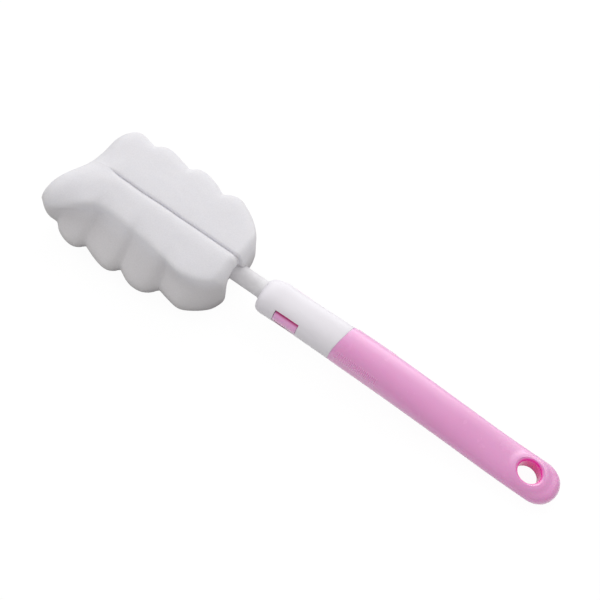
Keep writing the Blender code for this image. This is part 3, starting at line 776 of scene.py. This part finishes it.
# The near rim, the lip and the groove beside it, and where the blunt nose goes over into them, by u.
RIM_SHARE = 0.83
RIM_NOTCH_SHARE = 0.04
RIM_LIP_SHARE = 0.28
RIM_SOFT_START = 0.055
RIM_SOFT_FADE = 0.040
LIP_START = 0.010
LIP_FADE = 0.012
GROOVE_DEPTH = 0.0030
GROOVE_START = 0.004
GROOVE_RISE = 0.012
GROOVE_END = 0.098
GROOVE_FALL = 0.020
GROOVE_EXTRA_DEPTH = 0.0016
GROOVE_EXTRA_END = 0.016
GROOVE_EXTRA_FADE = 0.030
FULL_WALL_OUT = 0.030
NOSE_END = 0.006
NOSE_FADE = 0.007


def near_half(u, crown, crease, fold):
    """Guide points (out, z) of the near lobe, from the crease over the crown and its rim to the underside.

    The rim stands over a groove in the side wall, and the nose at the far end has neither of them."""
    drawn = scallop(u, True, NEAR_FULLNESS)
    soft = 1 - ease((u - RIM_SOFT_START) / RIM_SOFT_FADE)
    low_out = along_table(NEAR_LOW, u) + NEAR_BULGE * ease(u / NEAR_BULGE_RISE) - NEAR_NOTCH_DEPTH * drawn
    edge = along_table(NEAR_EDGE, u) - NEAR_RIM_NOTCH_DEPTH * drawn * soft
    lip = 1 - ease((u - LIP_START) / LIP_FADE)
    edge_z = crown * (RIM_SHARE - RIM_NOTCH_SHARE * drawn * soft - RIM_LIP_SHARE * lip)
    groove = GROOVE_DEPTH + GROOVE_EXTRA_DEPTH * (1 - ease((u - GROOVE_EXTRA_END) / GROOVE_EXTRA_FADE))
    groove *= ease((u - GROOVE_START) / GROOVE_RISE) * ease((GROOVE_END - u) / GROOVE_FALL)
    wall = low_out - edge
    narrow = min(low_out / FULL_WALL_OUT, 1)
    lobe = [
        (0.0001, crease), (0.0003, 0.5 * (crease + crown)), (0.0008, (1 - 0.07 * fold) * crown),
        (0.0026, (1 + 0.035 * fold) * crown), (min(0.0066, 0.26 * edge), (1.02 + 0.03 * fold) * crown),
        (0.45 * edge, 1.02 * crown), (0.72 * edge, 0.95 * crown - 0.0006 * lip),
        (edge - 0.0016 - 0.0026 * lip, edge_z + 0.0010 + 0.0027 * lip),
        (edge, edge_z + 0.0006 * lip), (edge + 0.03 * wall, edge_z - 0.0018 - 0.0016 * lip),
        (edge + 0.30 * wall - groove, 0.38 * crown), (edge + 0.64 * wall - groove, 0.08 * crown),
        (edge + 0.92 * wall, -0.22 * crown), (low_out - 0.0002 * narrow, -0.48 * crown),
        (low_out - 0.0022 * narrow, -0.73 * crown), (low_out - 0.0060 * narrow, -0.92 * crown),
        (0.68 * low_out, -0.99 * crown), (min(0.0066, 0.24 * low_out), -crown),
        (min(0.0034, 0.14 * low_out), -0.93 * crown),
        (min(0.0016, 0.07 * low_out), -crease - 0.35 * (crown - crease)), (0, -crease),
    ]
    nose = lobe[:5] + [
        (0.45 * edge, crown), (0.70 * edge, 0.93 * crown), (0.87 * edge, 0.76 * crown),
        (0.95 * edge, 0.54 * crown), (0.99 * edge, 0.30 * crown), (edge, 0.05 * crown),
        (0.985 * edge, -0.20 * crown), (0.95 * edge, -0.44 * crown), (0.89 * edge, -0.66 * crown),
        (0.80 * edge, -0.84 * crown), (0.66 * edge, -0.96 * crown),
    ] + lobe[16:]
    blunt = 1 - ease((u - NOSE_END) / NOSE_FADE)
    return [(o + (n - o) * blunt, z + (t - z) * blunt) for (o, z), (n, t) in zip(lobe, nose)]


def far_half(u, crown, crease, fold):
    """Guide points (out, z) of the far lobe, which is flatter and has a fuller edge."""
    drawn = scallop(u, False, FAR_FULLNESS)
    wide = along_table(FAR_OUT, u) - FAR_NOTCH_DEPTH * drawn
    return [
        (0, crease), (0.0001, 0.5 * (crease + crown)), (0.0002, (1 - 0.10 * fold) * crown),
        (0.0005, (1 - 0.015 * fold) * crown), (min(0.0016, 0.1 * wide), 0.995 * crown),
        (0.18 * wide, crown), (0.33 * wide, crown), (0.50 * wide, 0.99 * crown), (0.68 * wide, 0.98 * crown),
        (0.84 * wide, 0.93 * crown), (0.96 * wide, 0.70 * crown), (wide, 0.30 * crown),
        (wide, -0.20 * crown), (0.96 * wide, -0.65 * crown), (0.82 * wide, -0.93 * crown),
        (0.5 * wide, -crown), (0.28 * wide, -crown), (0.15 * wide, -0.93 * crown),
        (0.0020, -crease - 0.35 * (crown - crease)), (0, -crease),
    ]


def smooth_loop(guides, count):
    """Points along a smooth closed curve that follows the guide points, spaced closer in the top crease."""
    curve = []
    steps = max(CURVE_SAMPLES // len(guides), 4)
    for i in range(len(guides)):
        a, b, c, d = (guides[(i + step) % len(guides)] for step in range(-1, 3))
        for j in range(steps):
            t = j / steps
            wa = (1 - t) ** 3 / 6
            wb = (3 * t**3 - 6 * t**2 + 4) / 6
            wc = (-3 * t**3 + 3 * t**2 + 3 * t + 1) / 6
            wd = t**3 / 6
            curve.append(tuple(wa * a[k] + wb * b[k] + wc * c[k] + wd * d[k] for k in (0, 1)))
    curve.append(curve[0])
    lengths = [0]
    for one, after in zip(curve, curve[1:]):
        closer = 1 + CREASE_CLOSER * max(1 - abs(one[0]) / CREASE_REACH, 0) if one[1] > 0 else 1
        lengths.append(lengths[-1] + math.dist(one, after) * closer)
    spaced = []
    at = 0
    for i in range(count):
        wanted = lengths[-1] * i / count
        while lengths[at + 1] < wanted:
            at += 1
        share = (wanted - lengths[at]) / (lengths[at + 1] - lengths[at])
        one, after = curve[at], curve[at + 1]
        spaced.append((one[0] + (after[0] - one[0]) * share, one[1] + (after[1] - one[1]) * share))
    return spaced


def sponge_section(u):
    """The whole section, from the crease in the top towards +y and round."""
    thick = rounded_end(1, FAR_END_THINNING, u * FAR_END_THINNING / FAR_END_ROUNDING)
    to_stem_end = (SPONGE_LENGTH - u) * STEM_END_THINNING / STEM_END_ROUNDING
    thick = min(thick, rounded_end(1, STEM_END_THINNING, to_stem_end))
    crown = CROWN_HEIGHT * thick
    fade = ease((u - CREASE_FADE_START) / CREASE_FADE)
    crease = min(CREASE_FAR_HEIGHT + fade * (CREASE_HEIGHT - CREASE_FAR_HEIGHT), crown)
    far = far_half(u, crown, crease, fade)
    near = near_half(u, crown, crease, fade)
    guides = far[:-1] + [(0, -crease)] + [(-out, z) for out, z in reversed(near)][1:-1]
    return smooth_loop(guides, SPONGE_SIDES)


END_STEPS = 14
RUN_STEPS = 170
CAP_STEPS = 10
CAP_MIDDLE = 0.06
FAR_CAP_BULGE = 0.0012
STEM_CAP_BULGE = 0.0005
cap_shares = [CAP_MIDDLE + (1 - CAP_MIDDLE) * math.sin(math.pi / 2 * i / CAP_STEPS) for i in range(CAP_STEPS)]
sections = [(0, share, -FAR_CAP_BULGE * (1 - share**2) ** 2) for share in cap_shares]
for i in range(END_STEPS):
    sections.append((FAR_END_ROUNDING * (1 - math.cos(math.pi / 2 * i / END_STEPS)), 1, 0))
run = SPONGE_LENGTH - FAR_END_ROUNDING - STEM_END_ROUNDING
sections += [(FAR_END_ROUNDING + run * i / RUN_STEPS, 1, 0) for i in range(RUN_STEPS + 1)]
for i in reversed(range(END_STEPS)):
    sections.append((SPONGE_LENGTH - STEM_END_ROUNDING * (1 - math.cos(math.pi / 2 * i / END_STEPS)), 1, 0))
sections += [(SPONGE_LENGTH, share, STEM_CAP_BULGE * (1 - share**2) ** 2) for share in reversed(cap_shares)]

NEAR_LEAN = 0.12
NEAR_LEAN_RISE = 0.020
SADDLE_DEPTH = 0.0026
SADDLE_START = 0.002
SADDLE_LENGTH = 0.0170
SADDLE_HALF_WIDTH = 0.017
SADDLE_NEAR_SHARE = 0.7
SADDLE_MIDDLE_Y = 0.003
SADDLE_FADE = 0.0050
STEM_NOTCH = 0.0048
STEM_NOTCH_START = 0.070
STEM_NOTCH_LENGTH = 0.0295
NEAR_HOLLOW_WIDTH = 0.009
NEAR_HOLLOW_LOSS_SHARE = 0.65
NEAR_HOLLOW_LOSS_Z = 0.002
NEAR_HOLLOW_LOSS_FADE = 0.010
FAR_HOLLOW_OUT = 0.0042
FAR_HOLLOW_SLOPE = 0.55
FAR_HOLLOW_Z = 0.0025
FAR_HOLLOW_FADE = 0.002
CREASE_HOLLOW_SHARE = 0.5
CREASE_HOLLOW_OUT = 0.0012
CREASE_SHIFT = 0.0014
CREASE_SHIFT_HEIGHT = 0.03


def beside_stem(y, z, share):
    """How far the foam is hollowed beside the stem, as a share of the notch."""
    up = z * share
    if y < 0:
        across = ease(1 + (y * share + NEAR_HOLLOW_WIDTH / 2) / NEAR_HOLLOW_WIDTH)
        return across * (1 - NEAR_HOLLOW_LOSS_SHARE * ease((up - NEAR_HOLLOW_LOSS_Z) / NEAR_HOLLOW_LOSS_FADE))
    by_stem = ease((FAR_HOLLOW_OUT - y * share - FAR_HOLLOW_SLOPE * (up - FAR_HOLLOW_Z)) / FAR_HOLLOW_FADE)
    return max(by_stem, CREASE_HOLLOW_SHARE * ease(1 - y / CREASE_HOLLOW_OUT))


work, points = drum(SPONGE_SIDES, len(sections))
for row, (u, share, bulge) in enumerate(sections):
    ring = sponge_section(u)
    fade = 1 - ease(u / SLANT_LENGTH)
    sink = SADDLE_DEPTH * (1 - ease((u - SADDLE_START) / SADDLE_LENGTH))
    for side, (y, z) in enumerate(ring):
        slant = FAR_END_SLANT * ease((SLANT_START_Y - y * share) / SLANT_WIDTH)
        x = SPONGE_FAR_END_X + u + bulge + fade * (FAR_END_PULL - slant)
        across = abs(y * share - SADDLE_MIDDLE_Y)
        if y < 0:
            x -= NEAR_LEAN * z * share * ease(-y * share / NEAR_LEAN_RISE)
            across *= SADDLE_NEAR_SHARE
        x -= STEM_NOTCH * beside_stem(y, z, share) * ease((u - STEM_NOTCH_START) / STEM_NOTCH_LENGTH)
        if z > 0:
            z -= sink * (1 - ease(across / SADDLE_HALF_WIDTH)) * ease(z / SADDLE_FADE)
        shift = CREASE_SHIFT * ease(0.5 + z / CREASE_SHIFT_HEIGHT)
        points[side, row].co = (x, y * share - shift, z * share)

WAVES_PER_METRE = 60
WAVE_HEIGHT = 0.0003
FINE_WAVE_HEIGHT = 0.00008
FINE_WAVES_PER_WAVE = 4
SIDEWAYS_WAVE_SHARE = 0.5
WAVE_REACH = 0.006
for corner in work.verts:
    place = corner.co * WAVES_PER_METRE
    wave = noise.noise(place) * WAVE_HEIGHT + noise.noise(place * FINE_WAVES_PER_WAVE) * FINE_WAVE_HEIGHT
    corner.co.z += wave * min(max(corner.co.z / WAVE_REACH, -1), 1)
    corner.co.y += wave * SIDEWAYS_WAVE_SHARE

FOAM_WHITE = (0.85, 0.845, 0.885)
FOAM_WHITE_DEEP = (0.80, 0.795, 0.835)
# Painted shade: the foam's base colour grows darker and a little warmer from its top down to the table, for
# the shade on its side walls and underside.
PAINTED_SHADE_AT_TABLE = (0.64, 0.63, 0.62)
PAINTED_SHADE_LOW_Z = 0.002
PAINTED_SHADE_HIGH_Z = 0.027
PAINTED_SIDE_SHADES = ((0.35, (0.86, 0.85, 0.83, 1)), (0.75, (0.90, 0.89, 0.875, 1)))
FOAM_ROUGHNESS = 0.95
FOAM_MOTTLE_WAVES = 1500
FOAM_CELL_WAVES = 2600
FOAM_CELL_HEIGHT = 0.0001
sponge_finish, tree, shader = finish_nodes("foam_white", FOAM_WHITE_DEEP, FOAM_ROUGHNESS)
crown_white = ramped(tree, grain(tree, FOAM_MOTTLE_WAVES, 4), FOAM_WHITE_DEEP, FOAM_WHITE)
# Painted shade: this ramp on the height multiplies the foam's white, darker and warmer towards the table, for
# the shade on the walls and underside.
height = share_between(tree, object_axes(tree)["Z"], PAINTED_SHADE_LOW_Z, PAINTED_SHADE_HIGH_Z)
sides = ramped(tree, height, PAINTED_SHADE_AT_TABLE, (1, 1, 1), 0.0, 1.0)
for share, tone in PAINTED_SIDE_SHADES:
    sides.node.color_ramp.elements.new(share).color = tone
mix = tree.nodes.new("ShaderNodeMix")
mix.data_type = "RGBA"
mix.blend_type = "MULTIPLY"
mix.inputs["Factor"].default_value = 1
tree.links.new(crown_white, mix.inputs[6])
tree.links.new(sides, mix.inputs[7])
tree.links.new(mix.outputs[2], shader.inputs["Base Color"])
shader.inputs["Specular IOR Level"].default_value = 0.15
shader.inputs["Subsurface Weight"].default_value = 0.5
shader.inputs["Subsurface Radius"].default_value = (1, 0.97, 0.93)
shader.inputs["Subsurface Scale"].default_value = 0.006
bumped(tree, shader, grain(tree, FOAM_CELL_WAVES, 4, 0.65), FOAM_CELL_HEIGHT, 0.6)
sponge = to_object("foam_head", work, sponge_finish, SPONGE_SHARP_ANGLE)
for corner in sponge.data.vertices:
    corner.co.z = max(corner.co.z, 0)
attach(sponge, "head")
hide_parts("sponge_head")

# Table, lamps and camera
# The brush lies on a plain white table under soft studio light from above and behind, a little from the
# left, and is seen from above its near side.
TABLE_HALF_WIDTH = 3
TABLE_GAP = 0.0001
TABLE_GREY = (0.40, 0.40, 0.40)
TABLE_ROUGHNESS = 0.9
TABLE_GLOW = 1.16
GLOW_SHARE = 0.82
work = bmesh.new()
bmesh.ops.create_grid(work, x_segments=1, y_segments=1, size=TABLE_HALF_WIDTH)
mesh = bpy.data.meshes.new("table")
bmesh.ops.translate(work, vec=(0, 0, -TABLE_GAP), verts=work.verts)
work.to_mesh(mesh)
work.free()
table = bpy.data.objects.new("table", mesh)
bpy.context.scene.collection.objects.link(table)
table_finish, tree, shader = finish_nodes("table_white", TABLE_GREY, TABLE_ROUGHNESS)
rays = tree.nodes.new("ShaderNodeLightPath").outputs
seen = worked_out(tree, "MAXIMUM", rays["Is Camera Ray"], rays["Is Glossy Ray"])
seen = worked_out(tree, "MAXIMUM", seen, rays["Is Transmission Ray"])
glow = tree.nodes.new("ShaderNodeEmission")
glow.inputs["Color"].default_value = (1, 1, 1, 1)
glow.inputs["Strength"].default_value = TABLE_GLOW
mixed = tree.nodes.new("ShaderNodeMixShader")
tree.links.new(worked_out(tree, "MULTIPLY", seen, GLOW_SHARE), mixed.inputs["Fac"])
tree.links.new(shader.outputs["BSDF"], mixed.inputs[1])
tree.links.new(glow.outputs["Emission"], mixed.inputs[2])
tree.links.new(mixed.outputs["Shader"], tree.nodes["Material Output"].inputs["Surface"])
mesh.materials.append(table_finish)

world = bpy.data.worlds.new("studio")
bpy.context.scene.world = world
world.use_nodes = True
world.node_tree.nodes["Background"].inputs["Color"].default_value = (1, 0.985, 0.97, 1)
world.node_tree.nodes["Background"].inputs["Strength"].default_value = 0.58


def lamp(name, place, aim, width, height, power):
    """A soft box."""
    data = bpy.data.lights.new(name, "AREA")
    data.shape = "RECTANGLE"
    data.size = width
    data.size_y = height
    data.energy = power
    made = bpy.data.objects.new(name, data)
    bpy.context.scene.collection.objects.link(made)
    made.location = place
    made.rotation_euler = (Vector(aim) - Vector(place)).to_track_quat("-Z", "Y").to_euler()
    return made


lamp("soft_box_back", (-0.16, 0.72, 0.54), (0, 0, 0), 0.9, 0.7, 3.9)
lamp("soft_box_low_back", (-0.16, 0.90, 0.24), (0, 0, 0), 1.1, 0.35, 1.7).visible_diffuse = False
lamp("soft_box_near", (0.15, -0.75, 0.30), (0, 0, 0), 0.8, 0.3, 0.5).visible_glossy = False
lamp("soft_box_left", (-0.8, -0.1, 0.6), (0, 0, 0), 0.5, 0.5, 1.2)

azimuth = math.radians(16.595)
elevation = math.radians(57.196)
roll = math.radians(-19.037)
CAMERA_DISTANCE = 0.676455
CAMERA_AIM = Vector((-0.013222, 0.009841, 0.010))
level = math.cos(elevation)
back = Vector((math.sin(azimuth) * level, -math.cos(azimuth) * level, math.sin(elevation)))
right = Vector((math.cos(azimuth), math.sin(azimuth), 0))
up = back.cross(right)
turned_right = right * math.cos(roll) - up * math.sin(roll)
turned_up = right * math.sin(roll) + up * math.cos(roll)
camera_data = bpy.data.cameras.new("camera")
camera_data.sensor_width = 36
camera_data.lens = 79.17
camera = bpy.data.objects.new("camera", camera_data)
bpy.context.scene.collection.objects.link(camera)
facing = Matrix((turned_right, turned_up, back)).transposed()
camera.matrix_world = Matrix.Translation(CAMERA_AIM + back * CAMERA_DISTANCE) @ facing.to_4x4()
bpy.context.scene.camera = camera
bpy.context.scene.view_settings.view_transform = "Standard"
